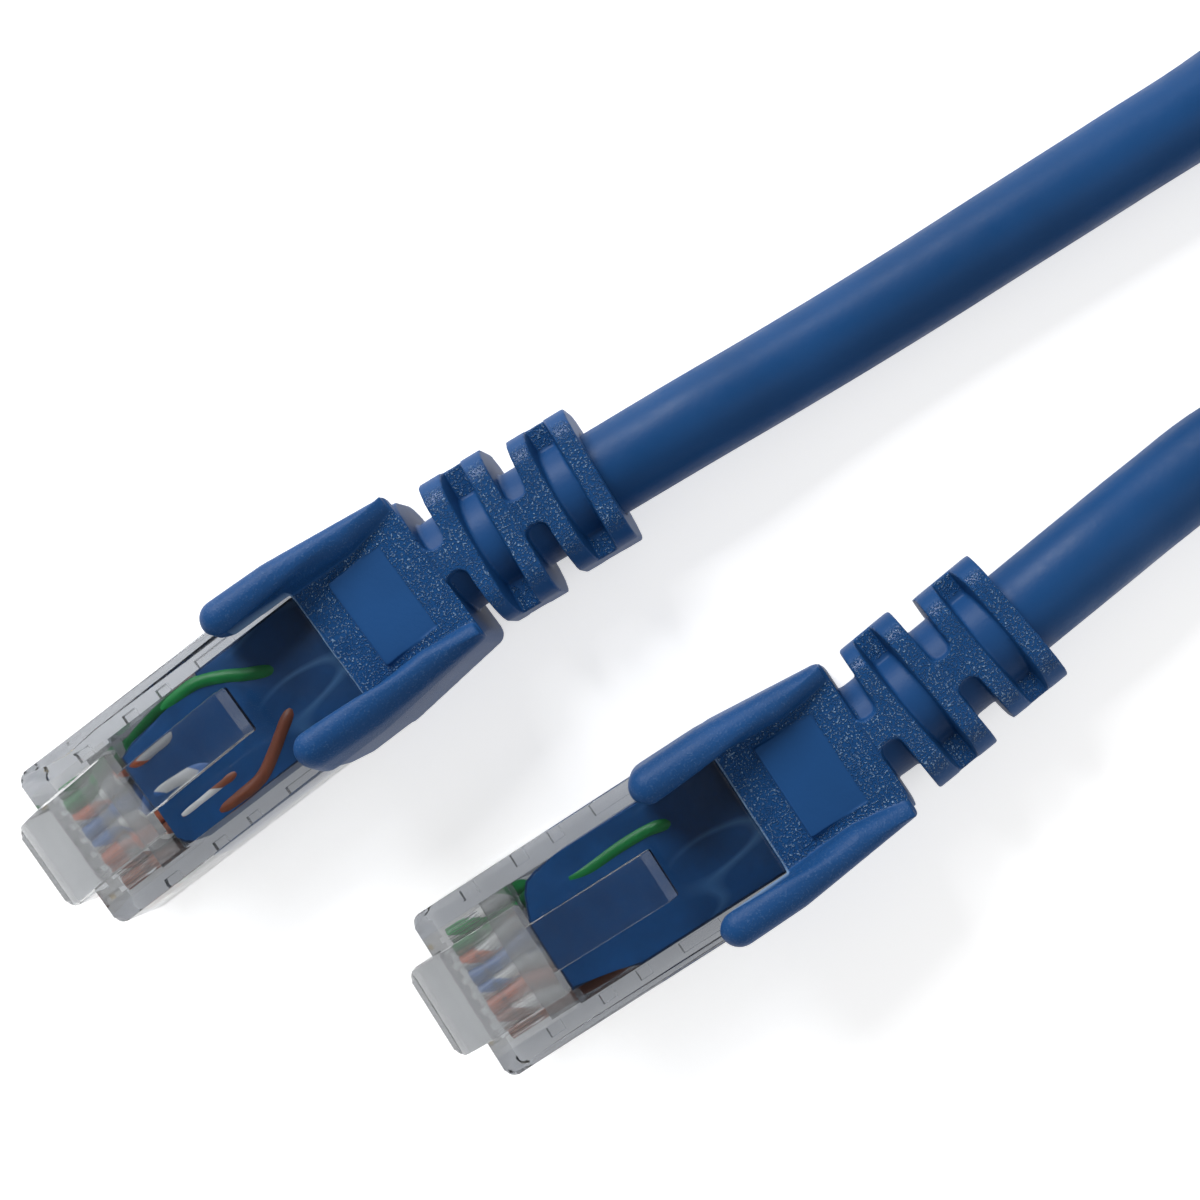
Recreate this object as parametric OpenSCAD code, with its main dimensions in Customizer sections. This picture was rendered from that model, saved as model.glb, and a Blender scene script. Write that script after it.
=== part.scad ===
// Ethernet patch cable: two clear eight-contact plugs with moulded boots on one round cable.
// Each plug is drawn in its own frame. X runs from the housing's front shoulder to the cable,
// Y runs across the plug and Z up from the surface that the boot lies on, latch uppermost.
// All sizes are in millimetres and all angles in degrees.

/* [Housing] */
// Width of the clear housing
housing_w = 11.68; // [11.5:0.02:12]
// Height of the clear housing, without the latch
housing_h = 6.6; // [6.5:0.1:7]
// Length of the housing behind its front shoulder
housing_l = 21.5; // [21:0.1:23]
// Height of the housing's underside above the boot's underside
housing_lift = 0.6; // [0.3:0.1:0.8]
// Radius of the housing's upright front corners
housing_corner = 0.5; // [0.2:0.1:0.9]
// Length of the nose in front of the shoulder
nose_l = 2.0; // [1.8:0.1:2.4]
// Width of the nose
nose_w = 6.3; // [6:0.1:6.8]
// Height of the nose, down from the housing's top
nose_h = 3.4; // [3:0.1:4]
// Radius of the nose's upright front corners
nose_corner = 0.7; // [0.3:0.1:1]
// Clearance at each side of the wires' row in the cable cavity
row_clear = 0.26; // [0.2:0.02:0.4]
// Height of the cable cavity
cavity_h = 4.9; // [4.7:0.1:5]
// Thickness of the floor under the cable cavity
cavity_floor = 0.8; // [0.6:0.1:0.9]
// Where the cable cavity starts behind the shoulder
cavity_at = 6.2; // [6:0.1:7]
// Length of the load bar's chamber in front of the cable cavity
bar_chamber_l = 2.4; // [2:0.1:2.8]
// Height of the load bar's chamber
bar_chamber_h = 2.4; // [2:0.1:2.6]
// Length of the crimp window in the underside
crimp_l = 3.6; // [3:0.1:4.5]
// Width of the crimp window
crimp_w = 7.4; // [6:0.1:8]
// Where the crimp window starts behind the shoulder
crimp_at = 11.4; // [10:0.1:12]
// Clearance between pieces that are pressed or moulded together
seat_gap = 0.03; // [0.02:0.01:0.04]

/* [Contacts and wires] */
// Distance from one contact to the next
contact_pitch = 1.02; // [0.98:0.01:1.1]
// Thickness of a contact blade
blade_t = 0.35; // [0.25:0.05:0.4]
// Length of a contact blade
blade_l = 2.6; // [2.2:0.1:2.8]
// Depth of a blade's lower edge inside the housing's underside
blade_recess = 0.3; // [0.2:0.05:0.5]
// Length of each of a blade's two piercing points
point_l = 0.5; // [0.3:0.1:0.8]
// Where the wires end behind the shoulder
wire_start = 0.9; // [0.6:0.1:1]
// Gap between neighbouring wires
wire_gap = 0.08; // [0.06:0.02:0.18]
// Diameter of a wire's copper core
core_d = 0.51; // [0.4:0.01:0.6]
// Height of the wires' row above the housing's underside
wire_h = 2.6; // [2.4:0.1:2.8]

/* [Inner mould] */
// Set-back of the mould's narrow front from the cavity's sides
mould_step = 1.0; // [0.6:0.1:1.2]
// Length of the narrow front on the plug's right
mould_neck_l = 3.0; // [2:0.1:4]
// Length over which the mould widens on the right
mould_right_slope = 1.4; // [1:0.1:2]
// Length over which the mould widens on the left
mould_left_slope = 1.2; // [0.8:0.1:2]
// Thickness of the mould beside the jacket's flat end
jacket_side = 0.2; // [0.1:0.02:0.3]

/* [Latch] */
// Width of the latch's wide front part
latch_w = 6.2; // [5.8:0.1:6.4]
// Width of the latch's tail
tail_w = 3.3; // [3:0.1:3.6]
// Thickness of the latch
latch_t = 0.95; // [0.8:0.05:1.1]
// Height of the locking shoulders above the tail's top
shoulder_step = 0.45; // [0.3:0.05:0.6]
// Where the locking shoulders stand behind the housing's shoulder
shoulder_at = 6.4; // [5.4:0.1:7]
// Where the tail ends behind the housing's shoulder
tail_at = 15.7; // [15:0.1:16]
// Slope of the latch at rest
latch_rise = 10.5; // [10:0.5:12]
// Diameter of the hinge bead at the nose
bead_d = 1.2; // [1:0.1:1.3]
// Distance of the bead's axis in front of the shoulder
bead_at = 1.1; // [1:0.05:1.15]
// Radial clearance of the hinge bead in its groove
bead_gap = 0.05; // [0.03:0.01:0.08]
// Clearance under the latch where it leaves the bead
latch_clear = 0.25; // [0.2:0.05:0.4]

/* [Boot] */
// Width of the boot beside the latch
boot_w = 12.3; // [12.2:0.1:12.8]
// Width of the boot's body at its rear
boot_rear_w = 10.9; // [10:0.1:11.4]
// Length of the boot's body behind the housing
boot_l = 8.6; // [8:0.1:10]
// Radius of the body's upright rear corners
boot_corner = 0.8; // [0.4:0.1:1.2]
// Distance behind the housing's end at which the sides start to taper
boot_taper_at = 0.5; // [0:0.1:2]
// Rise of the boot's sunken floor towards the cable
floor_rise = 0.7; // [0.3:0.1:1]
// Length of the smooth pad on the sunken floor
pad_l = 4.1; // [3:0.1:5]
// Width of the smooth pad
pad_w = 6.3; // [5:0.1:6.6]
// Height of the smooth pad over the floor
pad_h = 0.1; // [0.05:0.05:0.2]
// Distance of the smooth pad behind the housing
pad_at = 2.4; // [2:0.1:3]
// Reach of the cheeks in front of the housing's end
cheek_reach = 5.3; // [4.8:0.1:5.4]
// Bulge of the cheeks beyond the body's sides
cheek_bulge = 0.1; // [0:0.05:0.15]
// Thickness of a cheek at its round front end
cheek_front_d = 2.5; // [2.2:0.1:2.8]
// Thickness of a cheek where it is thickest, beside the housing's end
cheek_middle_d = 2.6; // [2.5:0.1:2.9]
// Thickness of a cheek at the body's rear face
cheek_rear_d = 1.4; // [1:0.1:1.6]
// Height of a cheek's crown above the housing's top, at its front
cheek_front_h = 3.2; // [2.8:0.1:3.4]
// Height of a cheek's crown above the housing's top, where it is thickest
cheek_middle_h = 2.7; // [2.3:0.1:2.8]
// Height of a cheek's crown above the housing's top, at its rear
cheek_rear_h = 1.1; // [1:0.1:1.4]
// Set-back of a cheek's lower front corner
cheek_rake = 0.9; // [0.4:0.1:1.6]
// Distance of a cheek's flat tail end in front of the body's rear face
cheek_tail_gap = 0.15; // [0.1:0.05:0.4]

/* [Strain relief] */
// Number of ribs
rib_count = 2; // [2:1:3]
// Length of a rib along the cable
rib_l = 4.35; // [4:0.05:5]
// Length of the slot in front of each rib
slot_l = 1.5; // [1.3:0.1:2]
// Width of the first rib
rib_front_w = 10.3; // [9.6:0.1:10.6]
// Height of the first rib
rib_front_h = 8.0; // [7.8:0.1:8]
// Width of the last rib
rib_rear_w = 9.4; // [8.8:0.1:9.6]
// Height of the last rib
rib_rear_h = 7.6; // [7.4:0.1:7.8]
// Corner radius of a rib's section
rib_corner = 2.4; // [1.6:0.1:2.8]
// Width of the webs above and below the core in each slot
web_w = 1.85; // [1.5:0.05:2.4]
// Radius of the fillets where a slot ends at a web
slot_fillet = 0.6; // [0.3:0.05:0.65]
// Extra length of a slot at its open side
slot_draft = 0.6; // [0.2:0.1:0.8]
// Half height of the webs at the sides of each rib
side_web_h = 1.45; // [1:0.05:2]
// Length of a rib's groove at the side webs
groove_l = 1.25; // [0.9:0.05:1.5]
// Extra length of a rib's groove at its open side
groove_draft = 0.5; // [0.3:0.1:1.2]
// Thickness of the boot round the jacket inside the slots
core_wall = 0.4; // [0.3:0.05:0.5]

/* [Cable] */
// Diameter of the cable's jacket
cable_d = 5.8; // [5.4:0.1:6]
// Height of the cable's axis where it leaves the boot
axis_h = 4.1; // [4:0.05:4.2]
// Height of the jacket's end where it is pressed flat in the housing
flat_jacket_h = 4.5; // [4:0.1:4.6]
// Length of the jacket's flat end
flat_jacket_l = 4.0; // [3:0.5:6]

/* [Coil] */
// Diameter across the coil at the middle of its turns
coil_d = 58; // [58:1:66]
// Gap between turns that lie side by side or on each other
coil_gap = 0.5; // [0.45:0.05:0.7]
// Number of whole loops beside the last three quarters
coil_loops = 1; // [1:1:3]
// Width of the tie round the coil
tie_w = 8; // [6:1:10]
// Thickness of the tie
tie_t = 0.8; // [0.6:0.1:1.2]
// Slack of the tie round the turns
tie_slack = 0.5; // [0.45:0.05:0.8]

/* [Layout] */
// Sideways bend of plug A's strain relief, towards its right
flex_a = 6.7; // [4:0.1:8]
// Sideways bend of plug B's strain relief, towards its left
flex_b = 6.5; // [4:0.1:8]
// Turn of plug A against plug B
plug_a_turn = 3.7; // [2:0.1:5]

/* [Hidden] */
$fn = 48;
// A cut starts or ends this far outside the solid that it opens
over = 1;
contact_count = 8;
cheek_sides = 24;
// Places of the two plugs' shoulders on the surface
plug_a_pos = [-28.3, 9.95, 0];
plug_b_pos = [-11.8, -11.35, 0];
// Heights above the surface
housing_top = housing_lift + housing_h;
cavity_z = housing_lift + cavity_floor;
wire_z = housing_lift + wire_h;
wire_d = contact_pitch - wire_gap;
wire_r = wire_d / 2;
wire_row_w = (contact_count - 1) * contact_pitch + wire_d;
cavity_w = wire_row_w + 2 * row_clear;
flat_jacket_w = cavity_w - 2 * jacket_side;
core_r = core_d / 2;
cable_r = cable_d / 2;
jacket_at = housing_l - flat_jacket_l;
boot_end = housing_l + boot_l;
bead_r = bead_d / 2;
cheek_front_r = cheek_front_d / 2;
// The relief bends over its first slot and runs straight behind it
core_tube_r = cable_r + core_wall;
relief_pitch = slot_l + rib_l;
relief_straight_l = rib_count * relief_pitch - slot_l;

// ---- Shared shapes ----

function wire_y(number) = ((contact_count + 1) / 2 - number) * contact_pitch;

// A square-backed outline whose two front corners are round
module blunt_outline(front, back, width, corner) {
    translate([front + corner, -width / 2]) square([back - front - corner, width]);
    translate([front, corner - width / 2]) square([corner, width - 2 * corner]);
    for (side = [-1, 1])
        translate([front + corner, side * (width / 2 - corner)]) circle(corner);
}

module rounded_rect(width, height, corner) {
    square([width - 2 * corner, height], center = true);
    square([width, height - 2 * corner], center = true);
    for (x = [-1, 1], y = [-1, 1])
        translate([x * (width / 2 - corner), y * (height / 2 - corner)]) circle(corner);
}

// Two round sides joined by flats: the section of a jacket pressed flat
module stadium(width, height) {
    square([width - height, height], center = true);
    for (side = [-1, 1]) translate([side * (width - height) / 2, 0]) circle(height / 2);
}

// Extrudes a section, drawn across and up, along the plug from one place to another
module along_plug(from, to) {
    translate([from, 0, 0]) rotate([90, 0, 90]) linear_extrude(to - from) children();
}

// Extrudes a side view, drawn along and up, across the plug's middle
module across_plug(width) {
    rotate([90, 0, 0]) linear_extrude(width, center = true) children();
}

module rod_along(from, to, radius) {
    translate([from, 0, 0]) rotate([0, 90, 0]) cylinder(h = to - from, r = radius);
}

// ---- Housing, contacts and wires ----

module housing_outside() {
    translate([0, 0, housing_lift]) linear_extrude(housing_h)
        blunt_outline(0, housing_l, housing_w, housing_corner);
    translate([0, 0, housing_top - nose_h]) linear_extrude(nose_h)
        blunt_outline(-nose_l, housing_corner, nose_w, nose_corner);
}

module contact_slots() {
    slot_w = blade_t + 2 * seat_gap;
    mouth_h = wire_h / 2;
    for (number = [1 : contact_count]) translate([0, wire_y(number) - slot_w / 2, housing_lift]) {
        translate([-over, 0, -over]) cube([over + wire_start + blade_l, slot_w, over + mouth_h]);
        translate([wire_start - seat_gap, 0, 0])
            cube([blade_l + 2 * seat_gap, slot_w, wire_h - core_r]);
    }
}

module crimp_window() {
    across_plug(crimp_w) polygon([
        [crimp_at, housing_lift - over],
        [crimp_at, housing_lift],
        [crimp_at + crimp_l / 2, housing_lift + cavity_floor / 2],
        [crimp_at + crimp_l, housing_lift + cavity_floor / 2],
        [crimp_at + crimp_l, housing_lift - over],
    ]);
}

module housing() {
    bar_at = cavity_at - bar_chamber_l;
    color("gainsboro", 0.35) difference() {
        housing_outside();
        translate([cavity_at, -cavity_w / 2, cavity_z]) cube([housing_l, cavity_w, cavity_h]);
        translate([bar_at, -cavity_w / 2, wire_z - bar_chamber_h / 2])
            cube([bar_chamber_l + over, cavity_w, bar_chamber_h]);
        for (number = [1 : contact_count]) translate([0, wire_y(number), wire_z])
            rod_along(wire_start, cavity_at, wire_r + seat_gap);
        contact_slots();
        crimp_window();
        translate([-bead_at, 0, housing_top]) rotate([90, 0, 0])
            cylinder(h = nose_w + 2 * over, r = bead_r + bead_gap, center = true);
    }
}

module load_bar() {
    bar_at = cavity_at - bar_chamber_l;
    color("whitesmoke", 0.5) difference() {
        translate([bar_at + seat_gap, seat_gap - cavity_w / 2, wire_z - bar_chamber_h / 2 + seat_gap])
            cube([bar_chamber_l - 2 * seat_gap, cavity_w - 2 * seat_gap, bar_chamber_h - 2 * seat_gap]);
        for (number = [1 : contact_count]) translate([0, wire_y(number), wire_z])
            rod_along(bar_at - over, cavity_at + over, wire_r + seat_gap);
    }
}

// One contact blade: a plate with two points that pierce the insulation up to the core
module blade(grow = 0) {
    plate_top = wire_z - wire_r - seat_gap;
    plate_z = housing_lift + blade_recess;
    point_top = wire_z - core_r;
    translate([wire_start, -blade_t / 2 - grow, plate_z]) {
        cube([blade_l, blade_t + 2 * grow, plate_top - plate_z]);
        for (x = [point_l, blade_l - 2 * point_l]) translate([x - grow, 0, 0])
            cube([point_l + 2 * grow, blade_t + 2 * grow, point_top - plate_z]);
    }
}

module contacts() {
    color("gold") for (number = [1 : contact_count]) translate([0, wire_y(number), 0]) blade();
}

wire_colours = ["honeydew", "green", "bisque", "royalblue",
                "lightblue", "darkorange", "antiquewhite", "saddlebrown"];

module wire(number) {
    color(wire_colours[number - 1]) translate([0, wire_y(number), 0]) difference() {
        translate([0, 0, wire_z]) rod_along(wire_start, jacket_at, wire_r);
        translate([0, 0, wire_z]) rod_along(wire_start - over, jacket_at + over, core_r + seat_gap);
        blade(seat_gap);
    }
}

module conductors() {
    color("peru") for (number = [1 : contact_count]) translate([0, wire_y(number), wire_z])
        rod_along(wire_start, jacket_at, core_r);
}

// The plastic shot round the wires: it starts narrow and widens to the cavity's walls
module inner_mould_plan() {
    front = cavity_at + seat_gap;
    neck_end = front + mould_neck_l;
    wall = cavity_w / 2 - seat_gap;
    narrow = wall - mould_step;
    polygon([
        [front, -narrow], [neck_end, -narrow], [neck_end + mould_right_slope, -wall],
        [housing_l, -wall], [housing_l, wall], [front + mould_left_slope, wall], [front, narrow],
    ]);
}

module inner_mould() {
    color([0.1, 0.3, 0.55]) difference() {
        translate([0, 0, cavity_z + seat_gap]) linear_extrude(cavity_h - 2 * seat_gap)
            inner_mould_plan();
        for (number = [1 : contact_count]) translate([0, wire_y(number), wire_z])
            rod_along(cavity_at - over, jacket_at + seat_gap, wire_r + seat_gap);
        along_plug(jacket_at, housing_l + over) translate([0, cavity_z + cavity_h / 2])
            stadium(flat_jacket_w + 2 * seat_gap, flat_jacket_h + 2 * seat_gap);
    }
}

// ---- Latch ----

// The lever's side view from the bead's axis, lying level: thin at the bead, thick at the shoulders
module lever_side(length, crown) {
    top = latch_clear + latch_t;
    polygon([
        [0, latch_clear], [length, latch_clear], [length, top + crown],
        [length / 2, top + crown], [bead_r, top - latch_t / 3], [0, top - latch_t / 3],
    ]);
}

module tail_side(from, to) {
    top = latch_clear + latch_t;
    polygon([[from, latch_clear], [to, latch_clear], [to - latch_t / 3, top], [from, top]]);
}

module latch_lever() {
    shoulder_l = (shoulder_at + bead_at) / cos(latch_rise);
    tail_l = (tail_at + bead_at) / cos(latch_rise);
    color("gainsboro", 0.5) translate([-bead_at, 0, housing_top]) {
        rotate([90, 0, 0]) cylinder(h = latch_w, r = bead_r, center = true);
        rotate([0, -latch_rise, 0]) {
            across_plug(latch_w) lever_side(shoulder_l, shoulder_step);
            across_plug(tail_w) tail_side(shoulder_l / 2, tail_l);
            // The root that joins the lever to its bead
            across_plug(latch_w) polygon([
                [-bead_r / 2, 0], [bead_r / 2, 0],
                [bead_r / 2, latch_clear + latch_t / 2], [-bead_r / 2, latch_clear + latch_t / 4],
            ]);
        }
    }
}

// ---- Boot ----

module boot_plan() {
    front = housing_l - cheek_reach + cheek_front_r;
    taper = housing_l + boot_taper_at;
    straight_rear = boot_end - boot_corner;
    polygon([
        [front, boot_w / 2], [taper, boot_w / 2], [straight_rear, boot_rear_w / 2],
        [straight_rear, -boot_rear_w / 2], [taper, -boot_w / 2], [front, -boot_w / 2],
    ]);
    translate([straight_rear, boot_corner - boot_rear_w / 2])
        square([boot_corner, boot_rear_w - 2 * boot_corner]);
    for (side = [-1, 1])
        translate([straight_rear, side * (boot_rear_w / 2 - boot_corner)]) circle(boot_corner);
}

// The body's side view: raked skirts beside the housing, then a block with a rising floor
module boot_side() {
    front = housing_l - cheek_reach + cheek_front_r;
    polygon([
        [front - over, housing_top], [front + cheek_rake, housing_lift],
        [housing_l, housing_lift], [housing_l, 0], [boot_end, 0],
        [boot_end, housing_top + floor_rise], [housing_l, housing_top],
    ]);
}

module boot_body() {
    intersection() {
        linear_extrude(housing_top + floor_rise) boot_plan();
        across_plug(boot_w) boot_side();
    }
    translate([housing_l + pad_at, -pad_w / 2, housing_top - over])
        cube([pad_l, pad_w, over + floor_rise * (pad_at + pad_l) / boot_l + pad_h]);
}

// A cheek: a wall on the body's edge under a round crown. It is thickest beside the housing's
// end, and its tail ends flat just in front of the body's rear face.
module cheek(side) {
    nose = housing_l - cheek_reach + cheek_front_r;
    widest = boot_w / 2 + cheek_bulge;
    // Where each section stands, how far out it reaches, its radius and its crown's height
    sections = [
        [nose, widest, cheek_front_r, cheek_front_h],
        [housing_l, widest, cheek_middle_d / 2, cheek_middle_h],
        [boot_end, boot_rear_w / 2, cheek_rear_d / 2, cheek_rear_h],
    ];
    intersection() {
        hull() for (section = sections) {
            radius = section[2];
            translate([section[0], side * (section[1] - radius), housing_top]) {
                translate([0, 0, section[3] - radius]) sphere(radius, $fn = cheek_sides);
                cylinder(h = section[3] - radius, r = radius, $fn = cheek_sides);
            }
        }
        translate([0, -boot_w, 0]) cube([boot_end - cheek_tail_gap, 2 * boot_w, 2 * housing_top]);
    }
}

// ---- Strain relief ----

// The first slot lets the relief bend sideways. It is drawn bent to the left by flex, and
// bend_side mirrors it for a bend to the right.
function bend_radius(flex) = slot_l * 180 / PI / flex;
function bend_end(flex) = bend_radius(flex) * [sin(flex), 1 - cos(flex), 0];

// Sweeps a section round the bend, from the body's rear face to the first rib
module bend_sweep(flex) {
    translate([0, bend_radius(flex), 0]) rotate([0, 0, -90])
        rotate_extrude(angle = flex) translate([bend_radius(flex), 0]) children();
}

module behind_bend(flex) {
    translate(bend_end(flex)) rotate([0, 0, flex]) children();
}

function rib_share(index) = rib_count < 2 ? 0 : index / (rib_count - 1);
function rib_w(index) = rib_front_w + (rib_rear_w - rib_front_w) * rib_share(index);
function rib_h(index) = rib_front_h + (rib_rear_h - rib_front_h) * rib_share(index);

module rib_section(index) {
    rounded_rect(rib_w(index), rib_h(index), rib_corner);
}

// A slot's plan: narrow and filleted at the web, wider at its open side
module slot_plan(width) {
    inner = slot_l / 2;
    open = inner + slot_draft / 2;
    start = web_w / 2 + slot_fillet;
    polygon([[-inner, start], [inner, start], [open, width], [-open, width]]);
    translate([slot_fillet - inner, web_w / 2])
        square([slot_l - 2 * slot_fillet, 2 * slot_fillet]);
    for (side = [-1, 1]) translate([side * (inner - slot_fillet), start]) circle(slot_fillet);
}

module slot_pair(index) {
    for (side = [0, 1]) mirror([0, side, 0])
        linear_extrude(2 * rib_front_h, center = true) slot_plan(rib_w(index));
}

// The grooves above and below: they leave a web at each side of the rib
module groove_pair(index) {
    top = rib_h(index) / 2 + over;
    spread = groove_l + groove_draft * (top - side_web_h) / (rib_h(index) / 2 - side_web_h);
    for (side = [0, 1]) mirror([0, 0, side]) across_plug(2 * rib_front_w) polygon([
        [-groove_l / 2, side_web_h], [groove_l / 2, side_web_h],
        [spread / 2, top], [-spread / 2, top],
    ]);
}

module relief_ribs(flex) {
    difference() {
        union() {
            bend_sweep(flex) rib_section(0);
            behind_bend(flex) along_plug(0, rib_l) rib_section(0);
        }
        translate(bend_end(flex) / 2) rotate([0, 0, flex / 2]) slot_pair(0);
        behind_bend(flex) translate([rib_l / 2, 0, 0]) groove_pair(0);
    }
    behind_bend(flex) for (index = [1 : rib_count - 1])
        translate([(index - 1) * relief_pitch + rib_l, 0, 0]) difference() {
            along_plug(0, relief_pitch) rib_section(index);
            translate([slot_l / 2, 0, 0]) slot_pair(index);
            translate([slot_l + rib_l / 2, 0, 0]) groove_pair(index);
        }
}

// A round rod through the body, the bend and the straight of the relief
module bent_rod(flex, from, radius, past) {
    translate([0, 0, axis_h]) {
        rod_along(from, boot_end, radius);
        translate([boot_end, 0, 0]) {
            bend_sweep(flex) circle(radius);
            behind_bend(flex) rod_along(0, relief_straight_l + past, radius);
        }
    }
}

module boot(flex, bend_side) {
    color([0.12, 0.33, 0.6]) mirror([0, bend_side < 0 ? 1 : 0, 0]) difference() {
        union() {
            boot_body();
            for (side = [-1, 1]) cheek(side);
            translate([boot_end, 0, axis_h]) relief_ribs(flex);
            bent_rod(flex, housing_l, core_tube_r, 0);
        }
        translate([0, -housing_w / 2, housing_lift - over])
            cube([housing_l, housing_w, housing_h + over]);
        bent_rod(flex, housing_l - over, cable_r + seat_gap, over);
    }
}

module jacket_end(flex, bend_side) {
    color([0.14, 0.36, 0.62]) mirror([0, bend_side < 0 ? 1 : 0, 0]) {
        along_plug(jacket_at, housing_l) translate([0, cavity_z + cavity_h / 2])
            stadium(flat_jacket_w, flat_jacket_h);
        bent_rod(flex, housing_l, cable_r, 0);
    }
}

// ---- Cable ----

function turned(point, angle) = [
    point[0] * cos(angle) - point[1] * sin(angle),
    point[0] * sin(angle) + point[1] * cos(angle), point[2]];
function heading(angle) = [cos(angle), sin(angle), 0];

// Where the cable leaves a boot, and which way
function exit_point(place, turn, flex, bend_side) = let (
    left = bend_end(flex) + relief_straight_l * heading(flex))
    place + turned([boot_end + left[0], bend_side * left[1], axis_h], turn);

exit_a = exit_point(plug_a_pos, plug_a_turn, flex_a, -1);
exit_b = exit_point(plug_b_pos, 0, flex_b, 1);

// The coil: one tube that winds in on the surface, climbs a layer and winds out again
loop_rings = 24;
tube_sides = 6;
turns = coil_loops + 0.75;
turn_pitch = cable_d + coil_gap;
coil_outer_r = coil_d / 2 + turn_pitch * turns / 4;
// The first turn starts at this point and at this angle round the coil
coil_start = [81.14, 17.72, 0];
start_angle = 121;
coil_centre = coil_start - coil_outer_r * heading(start_angle);
climb_turns = 0.5;
// The tie stands where the coil lies furthest along X
tie_lift = tie_t + tie_slack;
tie_turn = start_angle / 360;
lift_span = 60;

function smooth_step(share) = share <= 0 ? 0 : share >= 1 ? 1 : share * share * (3 - 2 * share);
// The turns rise over the tie where it passes under them
function over_tie(turn) = let (away = abs((turn - tie_turn) - round(turn - tie_turn)) * 360)
    away >= lift_span ? 0 : tie_lift * (1 + cos(180 * away / lift_span)) / 2;
function coil_radius(turn) = coil_outer_r - turn_pitch * min(turn, turns - turn);
function coil_height(turn) = cable_r + over_tie(turn)
    + turn_pitch * smooth_step((turn - (turns - climb_turns) / 2) / climb_turns);
function coil_point(turn) = coil_centre + coil_radius(turn) * heading(start_angle - 360 * turn)
    + [0, 0, coil_height(turn)];

coil_turns = [for (step = [0 : turns * loop_rings]) coil_point(step / loop_rings)];
into_coil = heading(start_angle - 90);
out_of_coil = heading(start_angle - 90 - 360 * turns);
coil_first = coil_turns[0] - cable_d * into_coil;
coil_last = coil_turns[len(coil_turns) - 1] + cable_d * out_of_coil;
coil_path = concat([coil_first], coil_turns, [coil_last]);

// The free runs' points, chosen by hand between the boots and the coil
run_a_path = concat(
    [exit_a, exit_a + cable_d * heading(plug_a_turn - flex_a)],
    [
        [27, 10.7, 3.3], [35, 10.4, 2.9], [43, 10.2, 2.9], [51, 10, 2.9], [58.5, 9.9, 2.9],
        [64.8, 10.5, 2.9], [70.8, 12.2, 2.9],
    ],
    [coil_first]);
run_b_path = concat(
    [exit_b, exit_b + cable_d * heading(flex_b)],
    [
        [41, -8.9, 3.5], [46.4, -8.5, 3.5], [52.2, -9.2, 4.2], [58, -11.7, 5.8],
        [63.2, -15.7, 7.8],
    ],
    [coil_last]);

function unit(vector) = vector / norm(vector);
function path_forward(path, index, way_out) = index == len(path) - 1 ? way_out
    : unit(path[index + 1] - path[max(index - 1, 0)]);
function ring(path, index, radius, sides, way_out) = let (
    forward = path_forward(path, index, way_out),
    left = unit(cross([0, 0, 1], forward)),
    up = cross(forward, left))
    [for (corner = [0 : sides - 1]) let (angle = 90 + 360 * corner / sides)
        path[index] + radius * (cos(angle) * left + sin(angle) * up)];

// A tube along a path, whose last face is square to way_out
module tube(path, radius, sides, way_out) {
    points = [for (index = [0 : len(path) - 1]) each ring(path, index, radius, sides, way_out)];
    last = (len(path) - 1) * sides;
    walls = [for (index = [0 : len(path) - 2], corner = [0 : sides - 1]) let (
        here = index * sides, next = (corner + 1) % sides)
        each [
            [here + corner, here + sides + corner, here + sides + next],
            [here + corner, here + sides + next, here + next],
        ]];
    caps = [for (corner = [1 : sides - 2]) each [
        [0, corner, corner + 1], [last, last + corner + 1, last + corner]]];
    polyhedron(points = points, faces = concat(walls, caps));
}

run_sides = 12;

module cable_run_a() {
    color([0.14, 0.36, 0.62]) tube(run_a_path, cable_r, run_sides, into_coil);
}

module cable_run_b() {
    color([0.14, 0.36, 0.62]) tube(run_b_path, cable_r, run_sides, -out_of_coil);
}

module cable_coil() {
    color([0.14, 0.36, 0.62]) tube(coil_path, cable_r, tube_sides, out_of_coil);
}

// A strap drawn tight round the turns that pass through it
module tie_hoop(radius, width) {
    hull() for (loop = [0 : coil_loops])
        translate(coil_point(loop + tie_turn)) rotate([90, 0, 0])
            cylinder(h = width, r = radius, center = true, $fn = 32);
}

module coil_tie() {
    color([0.1, 0.1, 0.1]) difference() {
        tie_hoop(cable_r + tie_slack + tie_t, tie_w);
        tie_hoop(cable_r + tie_slack, tie_w + 2 * over);
    }
}

function path_length(path) =
    [for (index = [1 : len(path) - 1]) norm(path[index] - path[index - 1])];
function total(values) = values * [for (value = values) 1];
half_loop = loop_rings / 2;
coil_gaps = [for (first = [0 : len(coil_path) - 1 - half_loop])
    for (second = [first + half_loop : len(coil_path) - 1])
        norm(coil_path[first] - coil_path[second]) - cable_d];
echo("least gap in the coil", min(coil_gaps));
echo("free cable length", total(path_length(run_a_path)) + total(path_length(coil_path))
    + total(path_length(run_b_path)));

// ---- The two plugs and the cable ----

module plug_a() {
    translate(plug_a_pos) rotate([0, 0, plug_a_turn]) children();
}

module plug_b() {
    translate(plug_b_pos) children();
}

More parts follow.
